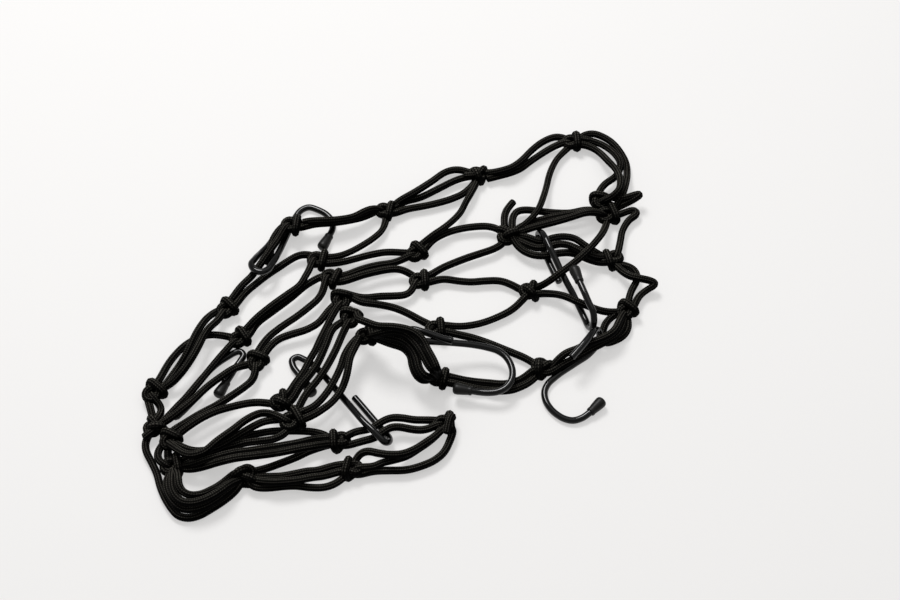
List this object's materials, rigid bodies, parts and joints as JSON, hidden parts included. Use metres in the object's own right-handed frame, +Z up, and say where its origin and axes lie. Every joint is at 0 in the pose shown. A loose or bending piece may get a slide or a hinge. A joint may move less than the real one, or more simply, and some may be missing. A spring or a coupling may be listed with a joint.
{
  "type": "cargo net",
  "caption": "Elastic cargo net of knotted braided cord, lying loosely gathered, with coated wire hooks in its border loops and rubber tips on the hooks.",
  "frame": {"origin": "on the ground, under the middle of the net's bounding box", "axes": "+Z up from the ground; +X to the right and +Y away, as seen from the side that the net's doubled part lies to the left of"},
  "size_m": [0.3601, 0.3266, 0.0383],
  "materials": {
    "cord_sheath": "woven polyester sheath, near black, with a faint sheen on the braid",
    "hook_coating": "smooth black vinyl coating over bent steel wire, glossy",
    "tip_rubber": "matt black moulded rubber"
  },
  "bodies": {
    "root": {"hook_1": "hook_coating", "hook_2": "hook_coating", "hook_3": "hook_coating", "hook_4": "hook_coating", "hook_5": "hook_coating", "hook_6": "hook_coating", "hook_tip_1": "tip_rubber", "hook_tip_2": "tip_rubber", "hook_tip_3": "tip_rubber", "hook_tip_4": "tip_rubber", "hook_tip_5": "tip_rubber", "hook_tip_6": "tip_rubber", "net_section_01": "cord_sheath", "net_section_02": "cord_sheath", "net_section_03": "cord_sheath", "net_section_04": "cord_sheath", "net_section_05": "cord_sheath", "net_section_06": "cord_sheath", "net_section_07": "cord_sheath", "net_section_08": "cord_sheath", "net_section_09": "cord_sheath", "net_section_10": "cord_sheath", "net_section_11": "cord_sheath", "net_section_12": "cord_sheath", "net_section_13": "cord_sheath", "net_section_14": "cord_sheath", "net_section_15": "cord_sheath", "net_section_17": "cord_sheath", "net_section_18": "cord_sheath", "net_section_19": "cord_sheath", "net_section_20": "cord_sheath", "net_section_21": "cord_sheath", "net_section_22": "cord_sheath", "net_section_23": "cord_sheath", "net_section_24": "cord_sheath", "net_section_25": "cord_sheath", "net_section_26": "cord_sheath", "net_section_27": "cord_sheath", "net_section_28": "cord_sheath", "net_section_29": "cord_sheath", "net_section_30": "cord_sheath", "net_section_31": "cord_sheath", "net_section_32": "cord_sheath", "net_section_33": "cord_sheath"}
  },
  "joints": []
}
